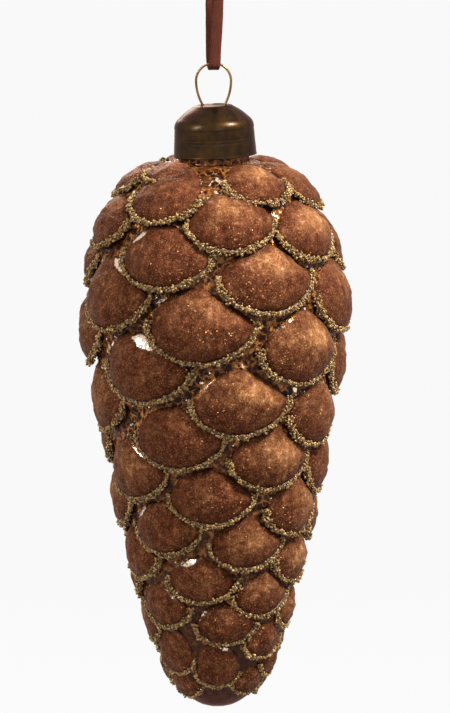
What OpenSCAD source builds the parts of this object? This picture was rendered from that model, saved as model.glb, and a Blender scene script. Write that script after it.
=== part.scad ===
// Pine cone ornament of mould-blown glass, with beaded scale edges, a pressed brass cap,
// a sprung wire hanger and a loop of flat suede lace. Lengths are in millimetres.
// The origin is the inside top of the lace's loop, where a hook or twig carries the ornament.

/* [Glass] */
// Radius of the glass between the scales, at its widest line
body_r = 28.9; // [24:0.1:35]
// Height of that widest line over the bottom
widest_h = 92.6; // [75:0.1:100]
// Height of the glass from its bottom to the foot of its neck
body_h = 134.4; // [118:0.1:160]
// How far out the round bottom runs before it turns up
bottom_r = 10.8; // [8:0.1:13]
// Radius that the flank aims at as it leaves the bottom
flank_r = 16.6; // [14:0.1:20]
// Height at which the flank aims at that radius
flank_h = 9.2; // [7:0.1:12]
// Radius that the shoulder aims at, level with the foot of the neck
shoulder_r = 26.5; // [22:0.1:30]
// Thickness of the blown wall
glass_wall = 1.1; // [0.9:0.1:1.4]
// Outer radius of the neck
neck_r = 8.5; // [7.5:0.1:9]
// Length of the neck above its foot
neck_h = 9.8; // [9.5:0.1:12]

/* [Scales] */
// Number of scales on the spiral
scale_count = 84; // [60:1:84]
// Turn from each scale to the next, in degrees
divergence = 137.4; // [137:0.1:137.6]
// Direction that the first scale faces, in degrees to the right of the front
first_turn = 211; // [0:1:359]
// Distance down the glass from the foot of the neck to the first scale's tip
first_tip = 9.7; // [8:0.1:12]
// Step down the glass from each scale to the next, as a share of the radius there
step_share = 0.0773; // [0.075:0.0001:0.08]
// Half width of a scale, as a share of the radius
half_share = 0.43; // [0.36:0.01:0.46]
// Length of a scale from its widest line down to its tip, as a share of the radius
drop_share = 0.29; // [0.22:0.01:0.32]
// Length of a scale from its widest line up to its root, as a share of the radius
rise_share = 0.28; // [0.2:0.01:0.32]
// How far a scale's tip stands off the glass, as a share of the radius
tip_share = 0.1; // [0.06:0.005:0.11]
// How far a scale's two corners stand off the glass, as a share of the radius
corner_share = 0.035; // [0.02:0.005:0.05]
// How far a scale's face is domed over its edge, as a share of the radius
dome_share = 0.05; // [0.02:0.005:0.07]
// How far the wall under a scale's edge leans in, as a share of the radius
undercut_share = 0.05; // [0:0.01:0.08]

/* [Bead edging] */
// Width of the band of beads, from a scale's edge outwards
bead_w = 1.3; // [0.5:0.1:1.5]
// Thickness of the layer of glue between the glass and the beads
glue = 0.05; // [0.02:0.01:0.1]

/* [Cap] */
// Outer radius of the cap at its rim
cap_r = 10; // [9.8:0.1:11]
// How much narrower the cap is at its shoulder than at its rim
cap_taper = 0.45; // [0:0.05:0.8]
// Height of the cap's skirt, from its rim to its shoulder
cap_skirt = 8.3; // [7.5:0.1:9]
// Height of the cap from its rim to its flat top
cap_h = 12.2; // [11.6:0.1:13.5]
// Radius of the cap's flat top
cap_top_r = 4.3; // [4.1:0.1:5]
// Size of the rounding at the cap's shoulder
cap_round = 1.5; // [0.8:0.1:2]
// Thickness of the cap's sheet
cap_wall = 0.4; // [0.3:0.05:0.5]
// Lean of the cap on its neck, in degrees
cap_lean = 2; // [0:0.1:2]

/* [Wire hanger] */
// Diameter of the wire
wire_d = 0.6; // [0.5:0.05:0.7]
// Inside width of the wire's eye
eye_w = 7.8; // [7:0.1:9]
// Inside height of the wire's eye over the cap
eye_h = 9.7; // [9:0.1:10.5]
// Distance of each of the cap's two holes from its middle
hole_x = 2.65; // [2.2:0.05:2.9]
// Play of the wire in each hole
hole_play = 0.25; // [0.2:0.05:0.4]
// Play of the wire's two ends against the inside of the neck
leg_play = 0.15; // [0.1:0.05:0.4]
// Depth of the wire's ends below the cap's rim
leg_depth = 0.5; // [0:0.1:1.5]

/* [Suede lace] */
// Width of the lace
lace_w = 2.8; // [2.4:0.1:3.4]
// Thickness of the lace
lace_t = 1.1; // [0.9:0.1:1.3]
// Width of the knot
knot_w = 6.6; // [5.8:0.1:8]
// Depth of the knot from front to back
knot_d = 5.4; // [5:0.1:6.5]
// Height of the knot
knot_h = 6; // [5:0.1:7]
// Length of the two tails over the knot
tail_l = 6; // [4:0.5:10]

/* [Hidden] */

// Gap at each seat between two pieces that rest on each other
seat = 0.05;
// Facets round the glass, round the smooth hollow inside it and round the cap
glass_facets = 28;
hollow_facets = 20;
cap_facets = 64;
// Straight stretches along the bottom curve and the shoulder curve of the glass
flank_steps = 10;
shoulder_steps = 5;
// Part of the flank's aim that the shoulder keeps as it leaves the widest line
shoulder_share = 0.12;
// Straight stretches along the lower edge of a scale
edge_steps = 7;
// Size and height of the inner ring of points that domes a scale's face
ring_share = 0.62;
ring_dome_share = 0.75;
// Depth to which a scale is rooted in the glass, as a share of the radius
root_share = 0.02;
// Greatest width of a band of beads on a small scale, as a share of the radius
bead_w_share = 0.08;
// Shape of that band: its outer side as a share of its width, how far up it stands, and
// the share that it may take of the wall that it is glued to
bead_belly_share = 0.8;
bead_stand_share = 0.2;
bead_reach_share = 0.7;

// Scales that the mould sets off the spiral: number, turn in degrees, step down as a
// share of the radius
off_spiral = [
    [1, -36, -0.03], [3, 0, 0.1], [4, -7, 0.01], [6, 11, 0.08], [7, -8, -0.075], [8, -4, 0.02],
    [9, 2, 0.09], [11, 0, -0.01], [13, 0, 0.04], [14, 0, 0.03], [15, -7, -0.04], [16, 5, 0.01],
    [18, 0, 0.01], [19, 2, 0.02], [20, 0, 0.005], [27, 3, 0], [30, 0, 0.05], [32, -6, -0.03],
    [35, 0, 0.01], [36, 0, -0.04], [37, -1, 0], [41, 1, -0.06], [43, -2, -0.02], [46, 4, -0.052],
    [48, 0, -0.01], [49, -3, -0.07], [51, 2, -0.08], [54, -3, -0.03], [56, 4, 0], [58, 0, -0.005],
    [59, -1, 0.005], [61, 2, 0.04], [62, -10, 0.09], [63, 0, -0.015], [64, 3, 0.06], [65, 1, 0.01],
    [66, 0, 0.02], [67, -8, 0.14], [68, -1, -0.023], [70, -1, 0], [71, -1, 0.02], [73, 1, 0.015],
    [74, 14, -0.05], [75, 0, 0.03], [76, 0, 0.05], [77, 9, -0.05], [78, 1, 0.025], [80, 0, 0.04],
    [81, -3, 0.03], [82, -6, 0.02], [83, 0, 0.03]
];
// Numbers on the spiral at which the mould has no scale
left_out = [69, 72];

// Route of the lace's middle line, from the knot down the front, under the wire and up
// the back. It parts below the knot round the hook that carries it.
lace_route = [
    [0.3, -1.4, 0], [0.3, -1.4, -0.6], [0.5, -2, -2.2], [0.8, -2.2, -4],
    [1, -1.7, -6], [1.1, -1.3, -9], [0.9, -1.1, -14], [0.5, -1, -20],
    [0.3, -1, -23.4], [0.2, -0.9, -23.9], [0.1, -0.5, -24.3], [0, 0, -24.5],
    [-0.1, 0.5, -24.3], [-0.2, 0.9, -23.9], [-0.3, 1, -23.4], [-0.4, 1, -20],
    [-0.4, 1.1, -14], [-0.4, 1.3, -9], [-0.3, 1.7, -6], [-0.2, 2.2, -4],
    [-0.2, 2, -2.2], [-0.2, 1.4, -0.6], [-0.2, 1.4, 0]
];
// Tails of the lace over the knot, from its top
front_tail = [[0.7, -0.9, -0.1], [0.9, -1, 0.35], [1.5, -1.4, 0.7], [2.3, -1.8, 1]];
back_tail = [[-0.7, 0.9, -0.1], [-0.9, 1, 0.35], [-1.6, 1.2, 0.7], [-2.6, 1.4, 1]];

// General functions: directions, curves and rounded corners
function unit(v) = v / norm(v);
function sum(v, n = 0) = n < len(v) ? v[n] + sum(v, n + 1) : 0;
function curve(a, b, c, d, t) =
    pow(1 - t, 3) * a + 3 * t * pow(1 - t, 2) * b + 3 * t * t * (1 - t) * c + pow(t, 3) * d;
function bend(a, b, c, size, steps = 4) =
    let(start = b + size * unit(a - b), end = b + size * unit(c - b))
    [for (i = [0 : steps]) let(t = i / steps)
        pow(1 - t, 2) * start + 2 * t * (1 - t) * b + t * t * end];
// Left-hand normal of a line in the plane, and a corner moved in by the sheet's thickness
function left(v) = [-v[1], v[0]] / norm(v);
function moved_in(a, b, c, t) =
    let(n = left(b - a), m = left(c - b)) b + t * (n + m) / (1 + n * m);
function arc(centre, r, from, to, steps) =
    [for (i = [0 : steps]) let(a = from + (to - from) * i / steps)
        centre + r * [cos(a), sin(a)]];

// Profile of the glass between the scales, as radius and height, from the bottom up
widest = [body_r, widest_h];
flank_aim = [flank_r, flank_h];
foot = [neck_r, body_h];
profile = concat(
    [for (i = [0 : flank_steps]) let(t = i / flank_steps)
        curve([0, 0], [bottom_r, 0], flank_aim, widest, t)],
    [for (i = [1 : shoulder_steps]) let(t = i / shoulder_steps)
        curve(widest, widest + shoulder_share * (widest - flank_aim),
            [shoulder_r, body_h], foot, t)]
);
last = len(profile) - 1;
// Outward direction of the profile at each of its points
outward = [for (i = [0 : last])
    i == 0 ? [0, -1] : i == last ? [0, 1]
        : -left(profile[i + 1] - profile[i - 1])];
// Distance down from the foot of the neck to each point, measured in radii of the glass
// there, so that equal steps keep the same shape on a thick and on a thin stretch
function radii_down(i) = i == last ? 0
    : radii_down(i + 1)
        + norm(profile[i + 1] - profile[i]) * 2 / (profile[i + 1][0] + profile[i][0]);
down = [for (i = [0 : last]) radii_down(i)];
radius_at = [for (i = [last : -1 : 0]) [down[i], profile[i][0]]];
height_at = [for (i = [last : -1 : 0]) [down[i], profile[i][1]]];
out_at = [for (i = [last : -1 : 0]) [down[i], outward[i][0]]];
up_at = [for (i = [last : -1 : 0]) [down[i], outward[i][1]]];
// Millimetres down from the foot of the neck, against the same distance in radii
length_at = [for (i = [last : -1 : 0])
    [sum([for (j = [i : 1 : last - 1]) norm(profile[j + 1] - profile[j])]), down[i]]];

// Point of the glass at a distance down in radii and a turn in degrees, lifted off it by a
// share of the radius
function on_glass(d, turn, lift) =
    let(
        r = lookup(d, radius_at),
        out = r * (1 + lift * lookup(d, out_at)),
        up = lookup(d, height_at) + r * lift * lookup(d, up_at)
    )
    [out * sin(turn), -out * cos(turn), up];

// Place of a scale's tip: distance down in radii, and turn in degrees
function shift(n) = let(found = [for (s = off_spiral) if (s[0] == n) s])
    len(found) > 0 ? found[0] : [n, 0, 0];
function tip_down(n) = lookup(first_tip, length_at) + n * step_share + shift(n)[2];
function tip_turn(n) = first_turn + n * divergence + shift(n)[1];
scales = [for (n = [0 : scale_count - 1]) if (len(search(n, left_out)) == 0) n];

// Point of a scale, across and down from its tip in shares of the radius
function on_scale(n, across, along, lift) =
    on_glass(tip_down(n) + along, tip_turn(n) + across * 180 / PI, lift);
// Edge of a scale at an angle from its right corner, down round the tip, up over the root
function edge(n, angle, size, lift) =
    on_scale(n, half_share * size * cos(angle),
        -drop_share + size * (sin(angle) > 0 ? drop_share : rise_share) * sin(angle), lift);
function edge_lift(angle) = corner_share + (tip_share - corner_share) * sin(angle);
function lower_edge(n) = [for (i = [0 : edge_steps]) let(a = 180 * i / edge_steps)
    edge(n, a, 1, edge_lift(a))];
// Direction of the wall under a scale's edge: in towards the axis, and up under the scale
function wall_run(n) =
    on_scale(n, 0, -drop_share - undercut_share, -root_share)
        - on_scale(n, 0, -drop_share, tip_share);

// Levels of the pieces, from the hanging point down
lace_low = min([for (p = lace_route) p[2]]);
eye_r = eye_w / 2;
lace_sink = eye_r - sqrt(eye_r * eye_r - lace_w * lace_w / 4);
eye_top = lace_low + lace_t / 2 + lace_sink + seat;
cap_top = eye_top - eye_h;
cap_rim = cap_top - cap_h;

// The cap's outer line and its inner line, as radius and height over its rim
cap_corners = [[cap_r, 0], [cap_r - cap_taper, cap_skirt], [cap_top_r, cap_h], [0, cap_h]];
cap_outer = concat(
    [cap_corners[0]],
    bend(cap_corners[0], cap_corners[1], cap_corners[2], cap_round),
    bend(cap_corners[1], cap_corners[2], cap_corners[3], cap_round / 2),
    [cap_corners[3]]
);
inner_shoulder = moved_in(cap_corners[0], cap_corners[1], cap_corners[2], cap_wall);
inner_top = moved_in(cap_corners[1], cap_corners[2], cap_corners[3], cap_wall);
cap_inner = concat(
    [[0, cap_h - cap_wall]],
    bend([0, cap_h - cap_wall], inner_top, inner_shoulder, cap_round / 2),
    bend(inner_top, inner_shoulder, [cap_r - cap_wall, 0], cap_round),
    [[cap_r - cap_wall, 0]]
);
// The neck's rim bears on the slope inside the cap, which leans over it
rim_under = lookup(neck_r, [for (p = cap_inner) if (p[1] > 0) p]);
lean_room = neck_r * sin(cap_lean);
neck_top = cap_rim + rim_under - seat - lean_room;
glass_bottom = neck_top - neck_h - body_h;
neck_bore = neck_r - glass_wall;

// Middle line of half of the wire, from the top of its eye down to its end in the neck
wire_r = wire_d / 2;
eye_mid = eye_r + wire_r;
eye_centre = [0, eye_top - eye_r];
below_centre = eye_centre[1] - cap_top;
in_turn = 2 * atan((eye_mid - hole_x) / below_centre);
side_r = below_centre / sin(in_turn);
side_centre = eye_centre + [eye_mid - side_r, 0];
leg_end = [neck_bore - leg_play - wire_r, cap_rim - leg_depth];
hole = [hole_x, cap_top - cap_wall / 2];
leg_top = hole - [0, 2 * wire_d];
leg_round = 1.6 * wire_d;
wire_half = concat(
    arc(eye_centre, eye_mid, 90, 0, 8),
    [for (p = arc(side_centre, side_r, 0, -in_turn, 6)) if (p[1] < eye_centre[1]) p],
    bend(hole, leg_top, leg_end, leg_round, 3),
    [leg_end]
);
wire_line = concat(
    [for (i = [len(wire_half) - 1 : -1 : 1]) [-wire_half[i][0], 0, wire_half[i][1]]],
    [for (p = wire_half) [p[0], 0, p[1]]]
);

// Solid swept along a line: a section of [sideways, outwards] points, with the sideways
// direction kept as near as it can be to a given one
module sweep(line, section, sideways) {
    sides = len(section);
    ends = len(line) - 1;
    run = [for (i = [0 : ends])
        unit(unit(line[min(i + 1, ends)] - line[max(i - 1, 0)]))];
    points = [for (i = [0 : ends])
        let(
            side = unit(sideways - (sideways * run[i]) * run[i]),
            face = cross(run[i], side)
        )
        for (p = section) line[i] + p[0] * side + p[1] * face];
    skin = [for (i = [0 : ends - 1], j = [0 : sides - 1])
        let(a = i * sides + j, b = i * sides + (j + 1) % sides)
        each [[a, a + sides, b], [b, a + sides, b + sides]]];
    start = [for (j = [0 : sides - 1]) j];
    end = [for (j = [sides - 1 : -1 : 0]) ends * sides + j];
    polyhedron(points, concat(skin, [start, end]));
}

function round_section(r, sides) =
    [for (i = [0 : sides - 1]) let(a = 360 * (i + 0.5) / sides) r * [cos(a), sin(a)]];
// The lace's section: a flat strip with its four corners taken off
function strip_section(w, t, c) = [
    [w / 2 - c, -t / 2], [w / 2, -t / 2 + c], [w / 2, t / 2 - c], [w / 2 - c, t / 2],
    [c - w / 2, t / 2], [-w / 2, t / 2 - c], [-w / 2, c - t / 2], [c - w / 2, -t / 2]
];

// One scale: a pillow with a proud lower edge and a wall under it that leans in
module cone_scale(n) {
    rim = lower_edge(n);
    run = wall_run(n);
    ring = [for (a = [0 : 60 : 300])
        edge(n, a, ring_share, max(edge_lift(a), corner_share) + dome_share * ring_dome_share)];
    points = concat(
        rim,
        [for (p = rim) p + run],
        [for (a = [240, 300]) edge(n, a, 1, -root_share)],
        ring,
        [on_scale(n, 0, -drop_share, (tip_share + corner_share) / 2 + dome_share)]
    );
    hull() polyhedron(points, [[for (i = [0 : len(points) - 1]) i]]);
}

// One strip of beads, glued along the wall under a scale's edge
module bead_strip(n) {
    rim = lower_edge(n);
    run = wall_run(n);
    deep = unit(run);
    width = min(bead_w, bead_w_share * lookup(tip_down(n) - drop_share, radius_at));
    points = [for (i = [1 : edge_steps - 1])
        let(
            out = unit(cross(rim[i + 1] - rim[i - 1], run)),
            room = norm(run) * edge_lift(180 * i / edge_steps) / (tip_share + root_share),
            depth = min(width, bead_reach_share * room)
        )
        each [
            rim[i] + glue * out,
            rim[i] + glue * out + depth * deep,
            rim[i] + (glue + bead_belly_share * width) * out + bead_belly_share * depth * deep,
            rim[i] + (glue + width) * out - bead_stand_share * width * deep
        ]];
    rings = edge_steps - 1;
    sides = len(points) / rings;
    skin = [for (i = [0 : rings - 2], j = [0 : sides - 1])
        let(a = i * sides + j, b = i * sides + (j + 1) % sides)
        each [[a, a + sides, b], [b, a + sides, b + sides]]];
    start = [for (j = [0 : sides - 1]) j];
    end = [for (j = [sides - 1 : -1 : 0]) (rings - 1) * sides + j];
    polyhedron(points, concat(skin, [start, end]));
}

// Blown glass body: the smooth cone with its neck, the scales on it, and the hollow inside
module glass_cone() {
    color("sienna")
    translate([0, 0, glass_bottom])
    difference() {
        union() {
            rotate_extrude($fn = glass_facets)
                polygon(concat(profile, [[neck_r, body_h + neck_h], [0, body_h + neck_h]]));
            for (n = scales) cone_scale(n);
        }
        rotate_extrude($fn = hollow_facets)
            polygon(concat(
                [for (i = [0 : last]) profile[i] - glass_wall * outward[i]],
                [[neck_bore, body_h], [neck_bore, body_h + neck_h + 1], [0, body_h + neck_h + 1]]
            ));
    }
}

// Strips of small gold beads, one to a scale
module bead_edging() {
    color("darkkhaki")
    translate([0, 0, glass_bottom])
    for (n = scales) bead_strip(n);
}

// Pressed brass cap, with two holes for the wire in its flat top
module cap() {
    color("darkolivegreen")
    translate([0, 0, neck_top + seat + lean_room])
    rotate([0, -cap_lean, 0])
    translate([0, 0, cap_rim - neck_top - seat - lean_room])
    difference() {
        rotate_extrude($fn = cap_facets)
            polygon(concat(cap_outer, cap_inner));
        for (side = [-1, 1])
            translate([side * hole_x, 0, cap_h - 2 * cap_wall])
                cylinder(h = 3 * cap_wall, d = wire_d + 2 * hole_play, $fn = 24);
    }
}

// One wire: an eye over the cap, and two legs that spring against the inside of the neck
module wire_hanger() {
    color("goldenrod")
    sweep(wire_line, round_section(wire_r, 8), [0, 1, 0]);
}

// Flat suede lace, in one length from the knot through the eye and back
module suede_lace() {
    color("saddlebrown")
    sweep(lace_route, strip_section(lace_w, lace_t, lace_t / 4), [1, 0, 0]);
}

// Knot that closes the lace into a loop, with its two tails
module lace_knot() {
    color("saddlebrown") {
        // Share of the knot's height, and of its width there
        waist = [[0, 0.8], [0.12, 0.97], [0.3, 0.9], [0.42, 1], [0.6, 1], [0.72, 0.9],
            [0.88, 0.95], [1, 0.7]];
        sides = 12;
        top = len(waist) - 1;
        points = [for (w = waist, p = round_section(0.5 * w[1], sides))
            [p[0] * knot_w, p[1] * knot_d, w[0] * knot_h]];
        skin = [for (i = [0 : top - 1], j = [0 : sides - 1])
            let(a = i * sides + j, b = i * sides + (j + 1) % sides)
            each [[a, a + sides, b], [b, a + sides, b + sides]]];
        polyhedron(points, concat(skin, [
            [for (j = [0 : sides - 1]) j],
            [for (j = [sides - 1 : -1 : 0]) top * sides + j]
        ]));
        for (tail = [front_tail, back_tail])
            sweep([for (p = tail) [p[0], p[1], knot_h + p[2] * tail_l]],
                strip_section(lace_w, lace_t, lace_t / 4), [1, 0, 0]);
    }
}

glass_cone();
bead_edging();
cap();
wire_hanger();
suede_lace();
lace_knot();
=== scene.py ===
"""Looks of the pine cone ornament: amber glass with coated scales, gold beads, a brass cap,
a wire eye and a suede lace. Lengths are in millimetres, in the part's own frame, unless their
name ends in _M; mesh_piece and bump turn them into metres."""
import math

import bpy
import numpy as np
from mathutils import Matrix, Vector
from mathutils.geometry import delaunay_2d_cdt


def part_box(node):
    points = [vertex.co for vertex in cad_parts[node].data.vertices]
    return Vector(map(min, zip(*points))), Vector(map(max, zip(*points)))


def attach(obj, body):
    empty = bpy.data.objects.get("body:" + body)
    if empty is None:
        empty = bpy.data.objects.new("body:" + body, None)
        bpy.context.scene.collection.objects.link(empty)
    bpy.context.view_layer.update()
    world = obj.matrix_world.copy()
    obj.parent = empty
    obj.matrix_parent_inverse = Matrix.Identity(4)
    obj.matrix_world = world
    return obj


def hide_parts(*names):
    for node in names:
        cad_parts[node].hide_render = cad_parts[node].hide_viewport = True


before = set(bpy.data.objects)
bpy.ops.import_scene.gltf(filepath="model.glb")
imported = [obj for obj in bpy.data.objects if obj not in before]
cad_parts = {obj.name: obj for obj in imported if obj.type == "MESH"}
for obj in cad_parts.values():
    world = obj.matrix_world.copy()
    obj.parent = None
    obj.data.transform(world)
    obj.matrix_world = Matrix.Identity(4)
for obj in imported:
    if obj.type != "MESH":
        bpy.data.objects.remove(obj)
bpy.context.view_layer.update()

MM = 0.001
FULL_TURN = 2 * math.pi
scene = bpy.context.scene
rng = np.random.default_rng(7)

# Camera, fitted to the photo
PHOTO_W, PHOTO_H = 450, 713
FOCAL_PX = 4100
CAMERA_AWAY = 1000
TILT_DOWN = math.radians(10.63)
ROLL = math.radians(-0.4)
AIM_HEIGHT = 64.2
AIM_PX = (216.1, 448.25)
SENSOR_W = 36
NEAREST_M, FARTHEST_M = 0.05, 20

# Glass, as the part's source has it
BODY_R, WIDEST_H, BODY_H = 28.9, 92.6, 134.4
BOTTOM_R, FLANK_R, FLANK_H, SHOULDER_R = 10.8, 16.6, 9.2, 26.5
SHOULDER_START = 0.12
GLASS_WALL = 1.1
NECK_R, NECK_H = 8.5, 9.8
SOURCE_FLANK_STEPS, SOURCE_SHOULDER_STEPS = 10, 5

# Scales, as the part's source has them
SCALE_COUNT, DIVERGENCE, FIRST_TURN = 84, 137.4, 211
FIRST_TIP, STEP_SHARE = 9.7, 0.0773
HALF_WIDTH, DROP, RISE = 0.43, 0.29, 0.28
TIP_LIFT, CORNER_LIFT, DOME, UNDERCUT, ROOT_DEPTH = 0.1, 0.035, 0.05, 0.05, 0.02
LEFT_OUT = (69, 72)
OFF_SPIRAL = {
    1: (-36, -0.03), 3: (0, 0.1), 4: (-7, 0.01), 6: (11, 0.08), 7: (-8, -0.075), 8: (-4, 0.02),
    9: (2, 0.09), 11: (0, -0.01), 13: (0, 0.04), 14: (0, 0.03), 15: (-7, -0.04), 16: (5, 0.01),
    18: (0, 0.01), 19: (2, 0.02), 20: (0, 0.005), 27: (3, 0), 30: (0, 0.05), 32: (-6, -0.03),
    35: (0, 0.01), 36: (0, -0.04), 37: (-1, 0), 41: (1, -0.06), 43: (-2, -0.02), 46: (4, -0.052),
    48: (0, -0.01), 49: (-3, -0.07), 51: (2, -0.08), 54: (-3, -0.03), 56: (4, 0), 58: (0, -0.005),
    59: (-1, 0.005), 61: (2, 0.04), 62: (-10, 0.09), 63: (0, -0.015), 64: (3, 0.06), 65: (1, 0.01),
    66: (0, 0.02), 67: (-8, 0.14), 68: (-1, -0.023), 70: (-1, 0), 71: (-1, 0.02), 73: (1, 0.015),
    74: (14, -0.05), 75: (0, 0.03), 76: (0, 0.05), 77: (9, -0.05), 78: (1, 0.025), 80: (0, 0.04),
    81: (-3, 0.03), 82: (-6, 0.02), 83: (0, 0.03),
}

# Wire and lace, as the part's source has them
WIRE_D, EYE_W, EYE_H, HOLE_X = 0.6, 7.8, 9.7, 2.65
LACE_W, LACE_T = 2.8, 1.1
KNOT_W, KNOT_D, KNOT_H, TAIL_L = 6.6, 5.4, 6, 6
LACE_ROUTE = [
    (0.3, -1.4, 0), (0.3, -1.4, -0.6), (0.5, -2, -2.2), (0.8, -2.2, -4),
    (1, -1.7, -6), (1.1, -1.3, -9), (0.9, -1.1, -14), (0.5, -1, -20),
    (0.3, -1, -23.4), (0.2, -0.9, -23.9), (0.1, -0.5, -24.3), (0, 0, -24.5),
    (-0.1, 0.5, -24.3), (-0.2, 0.9, -23.9), (-0.3, 1, -23.4), (-0.4, 1, -20),
    (-0.4, 1.1, -14), (-0.4, 1.3, -9), (-0.3, 1.7, -6), (-0.2, 2.2, -4),
    (-0.2, 2, -2.2), (-0.2, 1.4, -0.6), (-0.2, 1.4, 0),
]
FRONT_TAIL = [(0.9, -1, 0.35), (1.5, -1.4, 0.7), (2.3, -1.8, 1)]
BACK_TAIL = [(-0.9, 1, 0.35), (-1.6, 1.2, 0.7), (-2.6, 1.4, 1)]

# Cap, as the part's source has it: its outer line, the size of its bends, its sheet and its lean
CAP_CORNERS = np.array([(10, 0), (9.55, 8.3), (4.3, 12.2), (0, 12.2)])
CAP_BENDS, CAP_WALL, CAP_LEAN = (1.5, 0.75), 0.4, math.radians(2)
CAP_RIM, CAP_PIVOT = -45.54, -37.056

GLASS_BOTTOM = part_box("glass_cone")[0].z / MM

# Glass between the scales: its grid, how it swells towards them, and its lumps, each of a
# height, a size and a seed. They fade out towards the neck's foot and calm down at the bottom
GLASS_COLUMNS, GLASS_ROWS, NECK_ROWS, INNER_STEP = 256, 250, 24, 8
RIM_SWELL, SWELL_REACH = 0.45, 0.18
RIPPLES = ((0.12, 1.9, 11), (0.16, 3.1, 12), (0.1, 7.0, 13))
VEIN_HEIGHT, VEIN_WIDTH, VEIN_SIZE, VEIN_SEED = 0.35, 0.25, 5.0, 15
NECK_WAVE, NECK_WAVE_SIZE, NECK_WAVE_SEED = 0.1, 3.3, 14
FADE_LENGTH, CALM_FROM, CALM_LENGTH, CALMEST = 6, 2, 4, 0.1

# Scales as they are drawn: their grid, the powers of their edges' curves on the left and right,
# how much they rise and swell, and their lumps. The numbered ones reach up and keep a full edge
SCALE_COLUMNS, SCALE_ROWS = 44, 15
LOWER_POWERS, UPPER_POWERS = (1.0, 1.22), (1.05, 1.65)
TOP_RISE, DOME_SWELL, UNEVEN_EDGE = 1.13, 1.5, 0.02
SCALE_BUMPS = ((0.22, 5.0, 21), (0.1, 2.2, 22))
RISES = {0: 1.45, 1: 1.6, 2: 1.6, 3: 1.9, 4: 2.3, 5: 1.9, 6: 2.6, 7: 2.4, 9: 1.25,
         64: 1.35, 66: 1.4, 70: 1.4, 71: 1.5, 73: 1.4, 74: 2.1, 75: 1.35, 76: 1.4, 77: 2.1, 78: 1.4,
         79: 1.4, 80: 1.5, 81: 1.5, 82: 1.7, 83: 1.6}
# How far the painted shade under a scale's lower edge reaches, in sizes of that edge
SHADE_REACH = 0.2
# Scales more golden, and scales with little gold: their own tone, partly painted light and shade
GOLDEN = (9, 12, 17, 25, 30, 38)
DULL = (14, 27, 35, 43, 48, 53, 56, 61, 64, 67, 74, 75, 77, 80, 82)
# Bare silvered patches at the top of some scales: degrees to the right of the top, and size
BARE_PATCHES = {14: (-52, 1.1), 17: (-42, 0.7), 19: (22, 1.0), 25: (-38, 0.75), 27: (16, 1.3),
                30: (-60, 0.5), 38: (-30, 0.5), 40: (35, 0.6), 48: (-52, 1.0), 56: (-25, 0.95),
                59: (-60, 0.6), 64: (-60, 0.7)}

# Beads and glue: degrees along the lower edge from its right end, with the one scale where they
# start late, the band's radius, and how far its middle lies off the edge, in radii
BAND_ENDS, BAND_FROM = (-4, 184), {1: 55}
BAND_R, BAND_OUT, BAND_DEEP, GLUE_SHARE = 0.6, 0.35, 0.25, 0.7
GLUE_STEPS, GLUE_SIDES = 36, 10
BEAD_R, BEADS_PER_MM, BEADS_PER_PIECE = 0.31, 12, 9000

# The knot's wrap: degrees, steps, its distance from the knot's ends, and its tucked-in steps
WRAP_TURNS, WRAP_STEPS, WRAP_INSET, WRAP_TUCK = (-70, 560), 110, 1.55, 14

WIRE_HOLE_R, HOLE_SIDES, CAP_SIDES = 0.55, 24, 128

WHITE = (1, 1, 1, 1)
FLOOR_HALF, FLOOR_BELOW, BACKGROUND = 40000, 350, 0.94
# Lamps: name, place off the ornament's middle and size in metres, and watts
LAMPS = (("key_lamp", (0.34, -0.17, 0.47), (0.15, 0.12), 6.6),
         ("left_lamp", (-0.42, -0.3, 0.34), (0.08, 0.22), 1.9),
         ("front_lamp", (0.3, -1.2, 0.4), (0.5, 0.4), 1),
         ("back_lamp", (-0.3, 1.2, 0.6), (0.6, 0.6), 9))


# Meshes

def mesh_piece(name, material, points, quads=(), tris=(), values=None):
    """A smooth-shaded mesh piece from points in millimetres, with named values on its points."""
    quads = np.asarray(quads, np.int32).reshape(-1, 4)
    tris = np.asarray(tris, np.int32).reshape(-1, 3)
    mesh = bpy.data.meshes.new(name)
    mesh.vertices.add(len(points))
    mesh.vertices.foreach_set("co", (np.asarray(points, float) * MM).astype(np.float32).ravel())
    mesh.loops.add(quads.size + tris.size)
    mesh.loops.foreach_set("vertex_index", np.concatenate([quads.ravel(), tris.ravel()]))
    mesh.polygons.add(len(quads) + len(tris))
    starts = np.concatenate([
        np.arange(len(quads)) * 4, quads.size + np.arange(len(tris)) * 3]).astype(np.int32)
    mesh.polygons.foreach_set("loop_start", starts)
    mesh.update(calc_edges=True)
    mesh.polygons.foreach_set("use_smooth", np.ones(len(starts), bool))
    for key, value in (values or {}).items():
        layer = mesh.attributes.new(key, "FLOAT", "POINT")
        layer.data.foreach_set("value", np.asarray(value, np.float32).ravel())
    mesh.materials.append(material)
    piece = bpy.data.objects.new(name, mesh)
    scene.collection.objects.link(piece)
    return piece


def ring_angles(sides, start=0.0):
    return FULL_TURN * (np.arange(sides) + start) / sides


def wrapped(angle):
    """The same angle, between half a turn back and half a turn on."""
    return (angle + math.pi) % FULL_TURN - math.pi


def grid_quads(rows, columns):
    """Quads of a grid of points, row after row, closed round its columns."""
    i = np.arange(rows - 1)[:, None]
    j = np.arange(columns)[None, :]
    k = (j + 1) % columns
    return np.stack([i * columns + j, i * columns + k, (i + 1) * columns + k,
                     (i + 1) * columns + j], -1).reshape(-1, 4)


def fan(centre, ring):
    """Triangles from a centre to a ring of points."""
    return np.stack([np.full(len(ring), centre), np.roll(ring, -1), ring], -1)


def tube_faces(rows, columns):
    """Quads and end triangles of a closed tube whose two end points come last."""
    ring, last = np.arange(columns), rows * columns
    tris = np.vstack([fan(last, ring), fan(last + 1, ring + last - columns)[:, ::-1]])
    return grid_quads(rows, columns), tris


def repeated(faces, points_each, times_over):
    """The same faces on each of several equal sets of points."""
    offsets = (np.arange(times_over) * points_each)[:, None, None]
    return (faces[None] + offsets).reshape(-1, faces.shape[1])


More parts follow.
